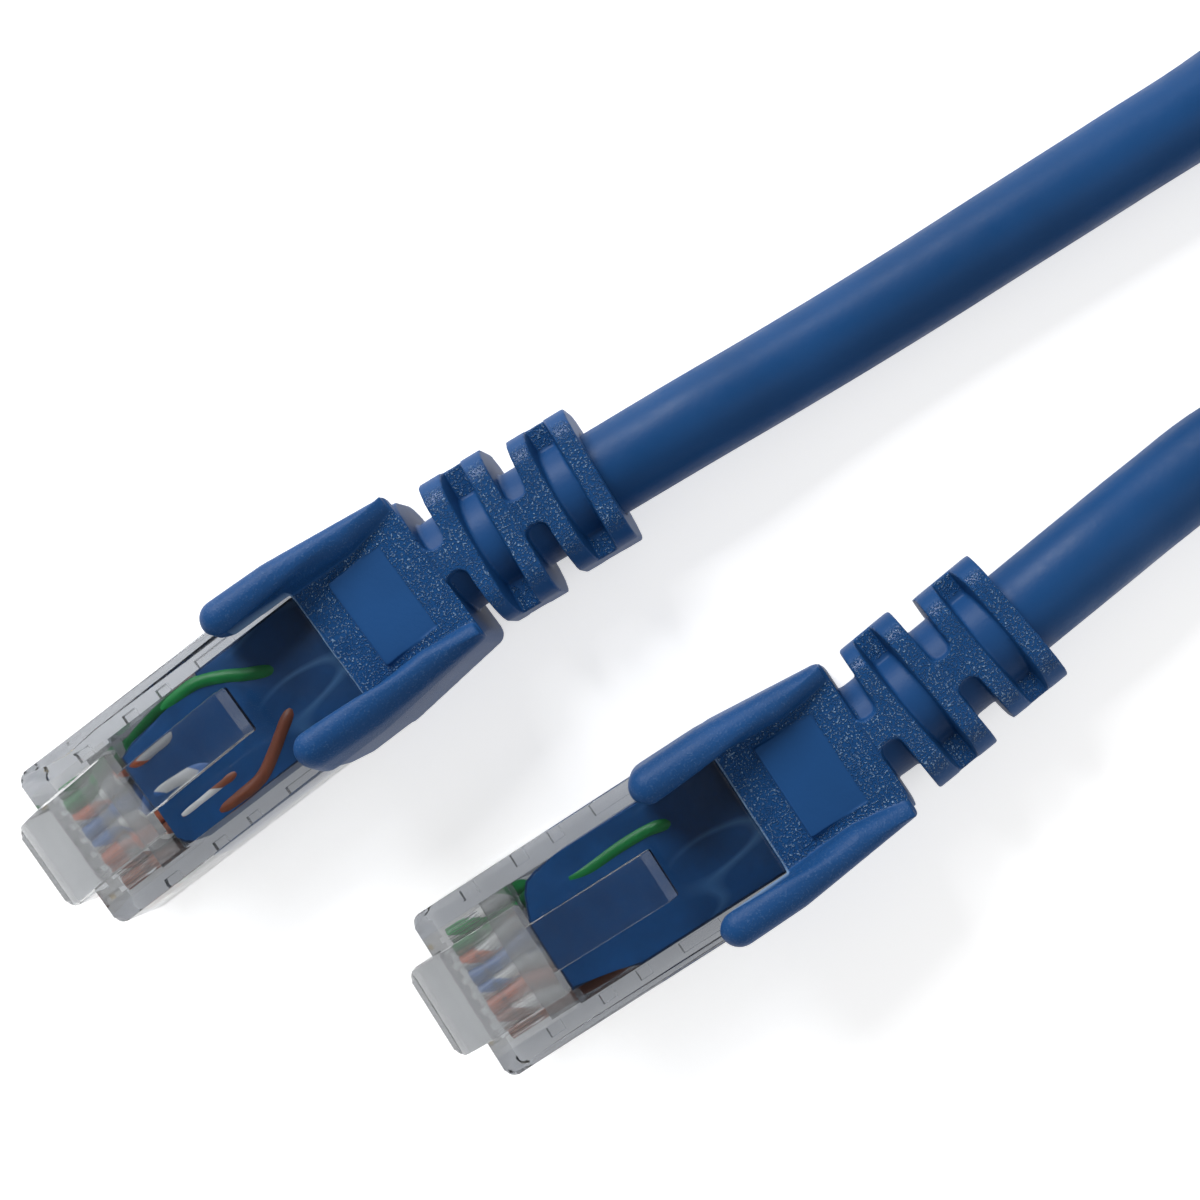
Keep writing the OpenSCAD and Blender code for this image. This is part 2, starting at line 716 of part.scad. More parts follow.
plug_a() housing();  // plug_a_housing
plug_a() latch_lever();  // plug_a_latch_lever
plug_a() load_bar();  // plug_a_load_bar
plug_a() contacts();  // plug_a_contacts
for (number = [1 : contact_count])
    plug_a() wire(number);
plug_a() conductors();  // plug_a_conductors
plug_a() inner_mould();  // plug_a_inner_mould
plug_a() jacket_end(flex_a, -1);  // plug_a_jacket_end
plug_a() boot(flex_a, -1);  // plug_a_boot
plug_b() housing();  // plug_b_housing
plug_b() latch_lever();  // plug_b_latch_lever
plug_b() load_bar();  // plug_b_load_bar
plug_b() contacts();  // plug_b_contacts
for (number = [1 : contact_count])
    plug_b() wire(number);
plug_b() conductors();  // plug_b_conductors
plug_b() inner_mould();  // plug_b_inner_mould
plug_b() jacket_end(flex_b, 1);  // plug_b_jacket_end
plug_b() boot(flex_b, 1);  // plug_b_boot
cable_run_a();
cable_coil();
cable_run_b();
coil_tie();
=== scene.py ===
import math

import bmesh
import bpy
from mathutils import Matrix, Vector


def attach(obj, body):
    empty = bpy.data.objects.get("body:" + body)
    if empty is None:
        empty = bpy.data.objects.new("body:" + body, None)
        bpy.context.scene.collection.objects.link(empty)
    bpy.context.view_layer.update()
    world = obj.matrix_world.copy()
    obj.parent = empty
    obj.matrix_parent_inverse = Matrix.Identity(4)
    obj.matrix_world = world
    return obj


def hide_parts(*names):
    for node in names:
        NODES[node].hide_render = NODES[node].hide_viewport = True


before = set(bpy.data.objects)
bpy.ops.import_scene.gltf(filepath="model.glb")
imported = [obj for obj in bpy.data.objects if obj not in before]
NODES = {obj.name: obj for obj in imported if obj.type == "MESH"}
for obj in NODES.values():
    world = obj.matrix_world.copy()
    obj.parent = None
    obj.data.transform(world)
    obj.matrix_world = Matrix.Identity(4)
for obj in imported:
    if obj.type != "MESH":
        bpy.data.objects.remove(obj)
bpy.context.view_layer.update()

MM = 0.001

# ---- Places and sizes shared with the CAD model, in millimetres and degrees ----

PLUG_A_PLACE = Vector((-28.3, 9.95, 0))
PLUG_A_TURN = 3.7
PLUG_B_PLACE = Vector((-11.8, -11.35, 0))
FLEX_A = 6.7
FLEX_B = 6.5
HOUSING_W = 11.68
HOUSING_L = 21.5
HOUSING_LIFT = 0.6
HOUSING_TOP = 7.2
BOOT_L = 8.6
BOOT_END = HOUSING_L + BOOT_L
SLOT_L = 1.5
RIB_L = 4.35
RELIEF_STRAIGHT_L = 2 * (SLOT_L + RIB_L) - SLOT_L
AXIS_H = 4.1
CABLE_D = 5.8
CABLE_R = CABLE_D / 2
CONTACT_PITCH = 1.02
WIRE_Z = 3.2
LATCH_RISE = 10.5


def heading(angle):
    return Vector((math.cos(math.radians(angle)), math.sin(math.radians(angle)), 0))


def bend_end(flex):
    radius = math.degrees(SLOT_L) / flex
    return radius * Vector((math.sin(math.radians(flex)), 1 - math.cos(math.radians(flex)), 0))


class Plug:
    """A plug's own frame: x along the plug from its shoulder, y across it and z up, in millimetres."""

    def __init__(self, key, place, turn, flex, bend_side):
        self.key = key
        self.flex = flex
        self.bend_side = bend_side
        self.matrix = (Matrix.Scale(MM, 4) @ Matrix.Translation(place)
                       @ Matrix.Rotation(math.radians(turn), 4, "Z"))
        self.inverse = self.matrix.inverted()
        left = bend_end(flex) + RELIEF_STRAIGHT_L * heading(flex)
        self.exit = Matrix.Translation(place) @ Matrix.Rotation(math.radians(turn), 4, "Z") @ Vector(
            (BOOT_END + left.x, bend_side * left.y, AXIS_H))
        self.exit_heading = turn + bend_side * flex

    def node(self, name):
        return f"plug_{self.key}_{name}"


PLUG_A = Plug("a", PLUG_A_PLACE, PLUG_A_TURN, FLEX_A, -1)
PLUG_B = Plug("b", PLUG_B_PLACE, 0, FLEX_B, 1)
PLUGS = [PLUG_A, PLUG_B]

# ---- Camera, fitted to both housings in a square picture of 1200 pixels ----

IMAGE_PX = 1200
FOCAL_PX = 1906.5
SENSOR_MM = 36
CAMERA_PLACE = Vector((20.56, -4.91, 123.99))
CAMERA_RIGHT = Vector((0.8298, -0.5438, -0.1252))
CAMERA_UP = Vector((0.5496, 0.8353, 0.0142))


def make_camera():
    data = bpy.data.cameras.new("photo_camera")
    data.sensor_width = SENSOR_MM
    data.lens = FOCAL_PX / IMAGE_PX * SENSOR_MM
    data.clip_start = 5 * MM
    data.clip_end = 10
    camera = bpy.data.objects.new("photo_camera", data)
    bpy.context.scene.collection.objects.link(camera)
    right = CAMERA_RIGHT.normalized()
    back = right.cross(CAMERA_UP).normalized()
    up = back.cross(right)
    turn = Matrix((right, up, back)).transposed().to_4x4()
    camera.matrix_world = Matrix.Translation(CAMERA_PLACE * MM) @ turn
    bpy.context.scene.camera = camera


make_camera()

# ---- Node materials ----


def new_material(name):
    material = bpy.data.materials.new(name)
    material.use_nodes = True
    tree = material.node_tree
    shader = tree.nodes["Principled BSDF"]
    return material, tree, shader


def set_inputs(shader, **values):
    for key, value in values.items():
        shader.inputs[key.replace("_", " ")].default_value = value


def link(tree, source, target):
    tree.links.new(source, target)


def object_noise(tree, scale, detail=2.0, roughness=0.5):
    place = tree.nodes.new("ShaderNodeTexCoord")
    noise = tree.nodes.new("ShaderNodeTexNoise")
    noise.inputs["Scale"].default_value = scale
    noise.inputs["Detail"].default_value = detail
    noise.inputs["Roughness"].default_value = roughness
    link(tree, place.outputs["Object"], noise.inputs["Vector"])
    return noise


def ramp(tree, factor, stops):
    """A colour ramp through (place, colour) stops."""
    node = tree.nodes.new("ShaderNodeValToRGB")
    while len(node.color_ramp.elements) < len(stops):
        node.color_ramp.elements.new(0.5)
    for element, (place, colour) in zip(node.color_ramp.elements, stops):
        element.position = place
        element.color = (*colour, 1)
    link(tree, factor, node.inputs["Fac"])
    return node.outputs["Color"]


def grey(level):
    return (level, level, level)


def bump(tree, height, distance, strength=1.0, normal=None):
    node = tree.nodes.new("ShaderNodeBump")
    node.inputs["Distance"].default_value = distance
    node.inputs["Strength"].default_value = strength
    link(tree, height, node.inputs["Height"])
    if normal is not None:
        link(tree, normal, node.inputs["Normal"])
    return node


def scaled(colour, factor):
    return tuple(channel * factor for channel in colour)


# ---- Materials ----

BOOT_BLUE = (0.011, 0.066, 0.205)
# Pale blue painted on the boot as highlights: glint specks on the grain and a line along the well's
# front edge
PAINTED_HIGHLIGHT_BLUE = (0.260, 0.400, 0.600)
JACKET_BLUE = (0.0095, 0.062, 0.192)
MOULD_BLUE = (0.010, 0.083, 0.250)
# Pale blue of the reflection streaks painted on the mould near the boot
PAINTED_REFLECTION_BLUE = (0.090, 0.240, 0.480)
PVC_SPECULAR = 0.16
# What the clear plastics let through; the housing's and the front's deep greys are painted shade,
# darkening the white floor seen through them to the grey of a shaded backdrop
HOUSING_SHADE_TINT = (0.38, 0.395, 0.42)
FRONT_SHADE_TINT = (0.43, 0.44, 0.45)
TAIL_TINT = (0.86, 0.87, 0.88)
BLOCK_TINT = (0.80, 0.81, 0.82)
BAR_TINT = (0.94, 0.95, 0.96)
CLEAR_IOR = 1.45


def plug_place(tree):
    """Where a point of the surface is in its plug's own frame, in millimetres."""
    node = tree.nodes.new("ShaderNodeAttribute")
    node.attribute_name = "plug_place"
    return node.outputs["Vector"]


def place_noise(tree, scale, detail=2.0, roughness=0.5, stretch=(1, 1, 1), turn=0):
    """Noise fixed to the plug: scale counts features per millimetre."""
    mapping = tree.nodes.new("ShaderNodeMapping")
    mapping.inputs["Scale"].default_value = stretch
    mapping.inputs["Rotation"].default_value = (0, 0, math.radians(turn))
    link(tree, plug_place(tree), mapping.inputs["Vector"])
    noise = tree.nodes.new("ShaderNodeTexNoise")
    noise.inputs["Scale"].default_value = scale
    noise.inputs["Detail"].default_value = detail
    noise.inputs["Roughness"].default_value = roughness
    link(tree, mapping.outputs["Vector"], noise.inputs["Vector"])
    return noise.outputs["Fac"]


def math_node(tree, operation, first, second):
    node = tree.nodes.new("ShaderNodeMath")
    node.operation = operation
    for socket, value in zip(node.inputs, (first, second)):
        if isinstance(value, (int, float)):
            socket.default_value = value
        else:
            link(tree, value, socket)
    return node.outputs["Value"]


def blend_colours(tree, factor, first, second):
    node = tree.nodes.new("ShaderNodeMix")
    node.data_type = "RGBA"
    link(tree, factor, node.inputs["Factor"])
    for name, value in (("A", first), ("B", second)):
        socket = [item for item in node.inputs if item.name == name and item.type == "RGBA"][0]
        if isinstance(value, tuple):
            socket.default_value = (*value, 1)
        else:
            link(tree, value, socket)
    return [item for item in node.outputs if item.type == "RGBA"][0]


def jacket_material():
    """Smooth PVC: faint colour drift, a fine skin and a few soft scuffs."""
    material, tree, shader = new_material("jacket_pvc")
    set_inputs(shader, Specular_IOR_Level=PVC_SPECULAR)
    drift = object_noise(tree, 120, 3)
    colour = ramp(tree, drift.outputs["Fac"], [
        (0.3, scaled(JACKET_BLUE, 0.88)), (0.7, scaled(JACKET_BLUE, 1.10))])
    link(tree, colour, shader.inputs["Base Color"])
    scuff = object_noise(tree, 450, 4, 0.65)
    link(tree, ramp(tree, scuff.outputs["Fac"], [(0.35, grey(0.36)), (0.75, grey(0.55))]),
         shader.inputs["Roughness"])
    skin = object_noise(tree, 2600, 3, 0.6)
    link(tree, bump(tree, skin.outputs["Fac"], 0.00002, 0.6).outputs["Normal"], shader.inputs["Normal"])
    return material


def boot_material():
    """Moulded PVC: smooth walls, and spark-eroded grain where the mesh's grain attribute is high, with
    painted glints as pale specks on the grain and a painted highlight line along the well's front edge.
    """
    material, tree, shader = new_material("boot_pvc")
    set_inputs(shader, Specular_IOR_Level=PVC_SPECULAR)
    mask = tree.nodes.new("ShaderNodeAttribute")
    mask.attribute_name = "grain"
    grain_mask = mask.outputs["Fac"]
    drift = object_noise(tree, 150, 3)
    base = ramp(tree, drift.outputs["Fac"], [
        (0.3, scaled(BOOT_BLUE, 0.90)), (0.7, scaled(BOOT_BLUE, 1.08))])
    pits = object_noise(tree, 7500, 2, 0.6)
    peaks = ramp(tree, pits.outputs["Fac"], [(0.46, grey(0.0)), (0.68, grey(1.0))])
    glint_specks = ramp(tree, pits.outputs["Fac"], [(0.57, grey(0.0)), (0.66, grey(1.0))])
    crowding = object_noise(tree, 700, 2)
    clusters = ramp(tree, crowding.outputs["Fac"], [(0.3, grey(0.25)), (0.65, grey(1.0))])
    # Pale specks painted on the grain where glints of light fall: painted highlights
    painted_glints = math_node(tree, "MULTIPLY", math_node(tree, "MULTIPLY", glint_specks, grain_mask), clusters)
    # The attribute that marks the painted highlight line along the well's front edge
    edge = tree.nodes.new("ShaderNodeAttribute")
    edge.attribute_name = "edge_highlight"
    # Painted light: the glint specks and the highlight line along the well's front edge, both laid into
    # the base colour
    pale = math_node(tree, "MAXIMUM", painted_glints, edge.outputs["Fac"])
    link(tree, blend_colours(tree, pale, base, PAINTED_HIGHLIGHT_BLUE), shader.inputs["Base Color"])
    link(tree, ramp(tree, grain_mask, [(0.0, grey(0.46)), (1.0, grey(0.20))]),
         shader.inputs["Roughness"])
    skin = object_noise(tree, 3000, 3, 0.6)
    smooth = bump(tree, skin.outputs["Fac"], 0.00003, 0.5)
    height = math_node(tree, "MULTIPLY", peaks, grain_mask)
    grain = bump(tree, height, 0.00009, 1.0, smooth.outputs["Normal"])
    link(tree, grain.outputs["Normal"], shader.inputs["Normal"])
    return material


def mould_material():
    """Glossy deep blue plastic with pale streaks of painted reflection towards the boot."""
    material, tree, shader = new_material("inner_mould_pvc")
    set_inputs(shader, Roughness=0.32)
    along = tree.nodes.new("ShaderNodeSeparateXYZ")
    link(tree, plug_place(tree), along.inputs["Vector"])
    near_boot = ramp(tree, math_node(tree, "DIVIDE", along.outputs["X"], HOUSING_L), [
        (0.70, grey(0.0)), (0.84, grey(1.0))])
    # Streaks of painted reflection: soft pale bands, near the boot only
    reflection_streaks = ramp(tree, place_noise(tree, 0.34, 0, 0.4, (0.35, 1.0, 1.0), 28), [
        (0.44, grey(0.0)), (0.50, grey(1.0)), (0.54, grey(0.0))])
    drift = place_noise(tree, 0.35, 3)
    base = ramp(tree, drift, [(0.35, scaled(MOULD_BLUE, 0.85)), (0.65, scaled(MOULD_BLUE, 1.15))])
    flow = math_node(tree, "MULTIPLY", math_node(tree, "MULTIPLY", reflection_streaks, near_boot), 0.75)
    link(tree, blend_colours(tree, flow, base, PAINTED_REFLECTION_BLUE), shader.inputs["Base Color"])
    link(tree, bump(tree, drift, 0.0004, 0.35).outputs["Normal"], shader.inputs["Normal"])
    return material


def clear_material(name, tint, roughness, clarity=1.0, ripple=0.00001):
    """Moulded polycarbonate: a grey tint, which on the housing and the front is painted shade, milky
    where clarity is under 1, rippled across the plug.
    """
    material, tree, shader = new_material(name)
    set_inputs(shader, Base_Color=(*tint, 1), IOR=CLEAR_IOR, Transmission_Weight=clarity)
    wear = object_noise(tree, 1500, 3, 0.6)
    link(tree, ramp(tree, wear.outputs["Fac"], [(0.4, grey(roughness)), (0.75, grey(roughness + 0.06))]),
         shader.inputs["Roughness"])
    flow = place_noise(tree, 1.3, 2, 0.5, (1, 0.12, 0.5))
    link(tree, bump(tree, flow, ripple, 0.5).outputs["Normal"], shader.inputs["Normal"])
    let_lamps_through(tree, shader, tint)
    return material


def let_lamps_through(tree, shader, tint):
    """Light from the lamps reaches what lies inside the clear plastic."""
    ray = tree.nodes.new("ShaderNodeLightPath")
    passing = tree.nodes.new("ShaderNodeBsdfTransparent")
    passing.inputs["Color"].default_value = (*(math.sqrt(channel) for channel in tint), 1)
    mix = tree.nodes.new("ShaderNodeMixShader")
    link(tree, ray.outputs["Is Shadow Ray"], mix.inputs[0])
    link(tree, shader.outputs["BSDF"], mix.inputs[1])
    link(tree, passing.outputs["BSDF"], mix.inputs[2])
    link(tree, mix.outputs["Shader"], tree.nodes["Material Output"].inputs["Surface"])


def metal_material(name, colour, roughness):
    material, tree, shader = new_material(name)
    set_inputs(shader, Base_Color=(*colour, 1), Metallic=1.0)
    wear = object_noise(tree, 3000, 3)
    link(tree, ramp(tree, wear.outputs["Fac"], [(0.3, grey(roughness)), (0.8, grey(roughness + 0.2))]),
         shader.inputs["Roughness"])
    link(tree, bump(tree, wear.outputs["Fac"], 0.00001, 0.4).outputs["Normal"], shader.inputs["Normal"])
    return material


def insulation_material(name, colour, stripe):
    """Solid colour, or white with a coloured stripe that winds round the wire."""
    material, tree, shader = new_material(name)
    drift = object_noise(tree, 900, 2)
    base = ramp(tree, drift.outputs["Fac"], [(0.3, scaled(colour, 0.88)), (0.7, colour)])
    if stripe is not None:
        winding = tree.nodes.new("ShaderNodeAttribute")
        winding.attribute_name = "winding"
        band = ramp(tree, winding.outputs["Fac"], [(0.58, grey(0.0)), (0.64, grey(1.0))])
        base = blend_colours(tree, band, base, stripe)
    link(tree, base, shader.inputs["Base Color"])
    set_inputs(shader, Roughness=0.4)
    skin = object_noise(tree, 4000, 2)
    link(tree, bump(tree, skin.outputs["Fac"], 0.00001, 0.5).outputs["Normal"], shader.inputs["Normal"])
    return material


def strap_material():
    """Woven strap: dark loops with a dull sheen."""
    material, tree, shader = new_material("tie_fabric")
    set_inputs(shader, Roughness=0.85, Sheen_Weight=0.3)
    loops = object_noise(tree, 3500, 4, 0.8)
    link(tree, ramp(tree, loops.outputs["Fac"], [(0.3, grey(0.010)), (0.7, grey(0.030))]),
         shader.inputs["Base Color"])
    link(tree, bump(tree, loops.outputs["Fac"], 0.0003, 1.0).outputs["Normal"], shader.inputs["Normal"])
    return material


JACKET = jacket_material()
BOOT = boot_material()
MOULD = mould_material()
# The housing's and the front's grey tints are painted shade over what shows through them
CLEAR = clear_material("clear_housing", HOUSING_SHADE_TINT, 0.05, ripple=0.00002)
MILKY = clear_material("milky_front", FRONT_SHADE_TINT, 0.06, 0.82)
CLEAR_LATCH = clear_material("clear_latch", TAIL_TINT, 0.04)
HAZY_LATCH = clear_material("hazy_latch", BLOCK_TINT, 0.11, 0.94)
HAZY_BAR = clear_material("hazy_bar", BAR_TINT, 0.08, 0.96)
GOLD = metal_material("gold_plate", (0.85, 0.62, 0.25), 0.18)
COPPER = metal_material("copper", (0.8, 0.42, 0.25), 0.25)
STRAP = strap_material()

WHITE = (0.78, 0.78, 0.75)
GREEN = (0.010, 0.27, 0.060)
ORANGE = (0.66, 0.13, 0.035)
BLUE = (0.030, 0.15, 0.44)
BROWN = (0.26, 0.075, 0.035)
WIRES = [("wire_white_green", WHITE, GREEN), ("wire_green", GREEN, None),
         ("wire_white_orange", WHITE, ORANGE), ("wire_blue", BLUE, None),
         ("wire_white_blue", WHITE, BLUE), ("wire_orange", ORANGE, None),
         ("wire_white_brown", WHITE, BROWN), ("wire_brown", BROWN, None)]
INSULATION = {slot: insulation_material(slot, colour, stripe) for slot, colour, stripe in WIRES}

# ---- Mesh helpers: a plug's pieces are drawn in its own frame, in millimetres ----

SHARP_ANGLE = math.radians(32)


def new_object(name, mesh, materials):
    obj = bpy.data.objects.new(name, mesh)
    bpy.context.scene.collection.objects.link(obj)
    if mesh.materials:
        mesh.materials.clear()
    for material in materials:
        mesh.materials.append(material)
    return obj


def finished_mesh(obj, name):
    """The mesh that an object's modifiers leave."""
    depsgraph = bpy.context.evaluated_depsgraph_get()
    mesh = bpy.data.meshes.new_from_object(obj.evaluated_get(depsgraph))
    mesh.name = name
    return mesh


def shade_smooth(mesh, keep_edges=False):
    for polygon in mesh.polygons:
        polygon.use_smooth = True
    if keep_edges:
        mesh.set_sharp_from_angle(angle=SHARP_ANGLE)


def place(obj, body, slot, *replaced):
    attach(obj, body)
    if replaced:
        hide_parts(*replaced)


def stand_on_plug(plug, name, mesh, materials, body, slot, *replaced):
    """Keeps each point's place in the plug's frame, moves the mesh to the plug and makes its piece."""
    own = mesh.attributes.new("plug_place", "FLOAT_VECTOR", "POINT")
    for vertex in mesh.vertices:
        own.data[vertex.index].vector = vertex.co
    mesh.transform(plug.matrix)
    mesh.name = name
    place(new_object(name, mesh, materials), body, slot, *replaced)


def arc(centre_x, centre_y, radius, start, end, steps=6):
    return [(centre_x + radius * math.cos(math.radians(start + (end - start) * step / steps)),
             centre_y + radius * math.sin(math.radians(start + (end - start) * step / steps)))
            for step in range(steps + 1)]


def blunt_outline(front, back, width, corner):
    """A plan outline whose two front corners are round, anticlockwise."""
    half = width / 2
    return [(back, -half), (back, half), *arc(front + corner, half - corner, corner, 90, 180),
            *arc(front + corner, corner - half, corner, 180, 270)]


def extruded(outlines, bevel=0, bevel_steps=3):
    """A mesh of straight extrusions: each has its outline's points at both ends."""
    shape = bmesh.new()
    for near, far in outlines:
        first = [shape.verts.new(point) for point in near]
        second = [shape.verts.new(point) for point in far]
        rims = [shape.faces.new(list(reversed(first))), shape.faces.new(second)]
        count = len(first)
        for index in range(count):
            following = (index + 1) % count
            shape.faces.new((first[index], first[following], second[following], second[index]))
        if bevel:
            edges = {edge for face in rims for edge in face.edges}
            bmesh.ops.bevel(shape, geom=list(edges), offset=bevel, segments=bevel_steps,
                            profile=0.5, affect="EDGES", clamp_overlap=True)
    bmesh.ops.recalc_face_normals(shape, faces=shape.faces)
    mesh = bpy.data.meshes.new("extruded")
    shape.to_mesh(mesh)
    shape.free()
    return mesh


def upright(outline, low, high):
    """An extrusion's two ends, from a plan outline."""
    return [(x, y, low) for x, y in outline], [(x, y, high) for x, y in outline]


def across(profile, width):
    """An extrusion's two ends, from a side view drawn along and up."""
    return [(x, width / 2, z) for x, z in profile], [(x, -width / 2, z) for x, z in profile]


def block(low, high):
    return upright([(low[0], low[1]), (high[0], low[1]), (high[0], high[1]), (low[0], high[1])],
                   low[2], high[2])


def rod(front, back, y, z, radius, sides=16):
    ring = [(math.cos(2 * math.pi * side / sides) * radius + y,
             math.sin(2 * math.pi * side / sides) * radius + z) for side in range(sides)]
    return [(front, across_y, up_z) for across_y, up_z in ring], \
           [(back, across_y, up_z) for across_y, up_z in ring]


def carved(mesh, steps):
    """Joins solids to a mesh and cuts others out of it: steps are (operation, mesh)."""
    body = new_object("carved", mesh, [])
    tools = []
    for operation, tool_mesh in steps:
        tool = new_object("tool", tool_mesh, [])
        tools.append(tool)
        modifier = body.modifiers.new(operation, "BOOLEAN")
        modifier.operation = operation
        modifier.solver = "EXACT"
        modifier.object = tool
    result = finished_mesh(body, "carved")
    for used in [body, *tools]:
        bpy.data.objects.remove(used)
    return result


def split_at(mesh, planes):
    """Cuts the mesh's faces where they cross the planes, each a point and a direction."""
    shape = bmesh.new()
    shape.from_mesh(mesh)
    for point, square_to in planes:
        bmesh.ops.bisect_plane(shape, geom=[*shape.verts, *shape.edges, *shape.faces],
                               plane_co=point, plane_no=square_to)
    shape.to_mesh(mesh)
    shape.free()


def smooth_path(points, steps=6):
    """Points along a Catmull-Rom curve through the given points."""
    points = [Vector(point) for point in points]
    ends = [2 * points[0] - points[1], *points, 2 * points[-1] - points[-2]]
    path = []
    for before, start, end, after in zip(ends, ends[1:], ends[2:], ends[3:]):
        for step in range(steps):
            share = step / steps
            path.append(0.5 * (2 * start + (end - before) * share
                               + (2 * before - 5 * start + 4 * end - after) * share ** 2
                               + (3 * start - before - 3 * end + after) * share ** 3))
    return path + [points[-1]]


def tube(path, radius, sides=14, pitch=5.0):
    """A closed tube whose winding attribute is 1 along a line that winds round it."""
    shape = bmesh.new()
    winding = shape.verts.layers.float.new("winding")
    rings, length = [], 0.0
    for index, point in enumerate(path):
        forward = (path[min(index + 1, len(path) - 1)] - path[max(index - 1, 0)]).normalized()
        left = Vector((0, 0, 1)).cross(forward).normalized()
        up = forward.cross(left)
        length += (point - path[max(index - 1, 0)]).length
        ring = []
        for side in range(sides):
            angle = 2 * math.pi * side / sides
            vertex = shape.verts.new(point + radius * (math.cos(angle) * left + math.sin(angle) * up))
            vertex[winding] = 0.5 + 0.5 * math.cos(angle - 2 * math.pi * length / pitch)
            ring.append(vertex)
        rings.append(ring)
    for ring, following in zip(rings, rings[1:]):
        for side in range(sides):
            other = (side + 1) % sides
            shape.faces.new((ring[side], ring[other], following[other], following[side]))
    shape.faces.new(rings[0])
    shape.faces.new(list(reversed(rings[-1])))
    bmesh.ops.recalc_face_normals(shape, faces=shape.faces)
    mesh = bpy.data.meshes.new("tube")
    shape.to_mesh(mesh)
    shape.free()
    return mesh


# ---- Cord: the route's points as in the CAD model, in millimetres ----

COIL_D = 58
COIL_GAP = 0.5
COIL_LOOPS = 1
COIL_TURNS = COIL_LOOPS + 0.75
LOOP_RINGS = 24
TURN_PITCH = CABLE_D + COIL_GAP
COIL_OUTER_R = COIL_D / 2 + TURN_PITCH * COIL_TURNS / 4
COIL_START = Vector((81.14, 17.72, 0))
START_ANGLE = 121
COIL_CENTRE = COIL_START - COIL_OUTER_R * heading(START_ANGLE)
CLIMB_TURNS = 0.5
TIE_T = 0.8
TIE_W = 8
TIE_SLACK = 0.5
TIE_LIFT = TIE_T + TIE_SLACK
TIE_TURN = START_ANGLE / 360
LIFT_SPAN = 60
RUN_A_POINTS = [
    (27, 10.7, 3.3), (35, 10.4, 2.9), (43, 10.2, 2.9), (51, 10, 2.9), (58.5, 9.9, 2.9),
    (64.8, 10.5, 2.9), (70.8, 12.2, 2.9),
]
RUN_B_POINTS = [
    (41, -8.9, 3.5), (46.4, -8.5, 3.5), (52.2, -9.2, 4.2), (58, -11.7, 5.8), (63.2, -15.7, 7.8),
]


def smooth_step(share):
    share = min(max(share, 0), 1)
    return share * share * (3 - 2 * share)


def over_tie(turn):
    away = abs((turn - TIE_TURN) - round(turn - TIE_TURN)) * 360
    return 0 if away >= LIFT_SPAN else TIE_LIFT * (1 + math.cos(math.pi * away / LIFT_SPAN)) / 2


def coil_point(turn):
    radius = COIL_OUTER_R - TURN_PITCH * min(turn, COIL_TURNS - turn)
    climb = smooth_step((turn - (COIL_TURNS - CLIMB_TURNS) / 2) / CLIMB_TURNS)
    height = CABLE_R + over_tie(turn) + TURN_PITCH * climb
    return COIL_CENTRE + radius * heading(START_ANGLE - 360 * turn) + Vector((0, 0, height))


def cord_route():
    coil = [coil_point(step / LOOP_RINGS) for step in range(int(COIL_TURNS * LOOP_RINGS) + 1)]
    return [
        PLUG_A.exit, PLUG_A.exit + CABLE_D * heading(PLUG_A.exit_heading),
        *[Vector(point) for point in RUN_A_POINTS],
        coil[0] - CABLE_D * heading(START_ANGLE - 90), *coil,
        coil[-1] + CABLE_D * heading(START_ANGLE - 90 - 360 * COIL_TURNS),
        *[Vector(point) for point in reversed(RUN_B_POINTS)],
        PLUG_B.exit + CABLE_D * heading(PLUG_B.exit_heading), PLUG_B.exit,
    ]


def make_cord(tie):
    route = [point * MM for point in cord_route()]
    curve = bpy.data.curves.new("patch_cable", "CURVE")
    curve.dimensions = "3D"
    curve.bevel_depth = CABLE_R * MM
    curve.bevel_resolution = 8
    curve.resolution_u = 6
    curve.use_fill_caps = True
    spline = curve.splines.new("BEZIER")
    spline.bezier_points.add(len(route) - 1)
    for knot, point in zip(spline.bezier_points, route):
        knot.co = point
        knot.handle_left_type = "AUTO"
        knot.handle_right_type = "AUTO"
    curve.materials.append(JACKET)
    cable = bpy.data.objects.new("patch_cable", curve)
    bpy.context.scene.collection.objects.link(cable)
    place(cable, "root", "jacket_pvc", "cable_run_a", "cable_coil", "cable_run_b")


# ---- Tie: a strap round the coil's turns whose free end lies on itself ----

TIE_STEPS = 72
# Shares of a round: where the strap starts, how far it laps over itself, and its step up onto itself
TIE_START = 0.05
TIE_LAP = 0.36
TIE_STEP_UP = 0.08
TIE_EDGE = 0.12


def tie_section():
    """The strap's section with cut-off corners, as (across, outward) points, in order round it."""
    half_w, half_t = TIE_W / 2, TIE_T / 2
    lower = [(-half_w, TIE_EDGE - half_t), (TIE_EDGE - half_w, -half_t),
             (half_w - TIE_EDGE, -half_t), (half_w, TIE_EDGE - half_t)]
    return lower + [(across_x, -up) for across_x, up in reversed(lower)]


def hoop_point(first, second, radius, share):
    """A point and its outward direction on the band round two turns, a share of the way round."""
    span = second - first
    along = span.normalized()
    out = Vector((along.z, 0, -along.x))
    straight = span.length
    whole = 2 * straight + 2 * math.pi * radius
    place_on = (share % 1) * whole
    if place_on < straight:
        return first + along * place_on + out * radius, out
    place_on -= straight
    if place_on < math.pi * radius:
        turn = place_on / radius
        way = out * math.cos(turn) + along * math.sin(turn)
        return second + way * radius, way
    place_on -= math.pi * radius
    if place_on < straight:
        return second - along * place_on - out * radius, -out
    turn = (place_on - straight) / radius
    way = -out * math.cos(turn) - along * math.sin(turn)
    return first + way * radius, way


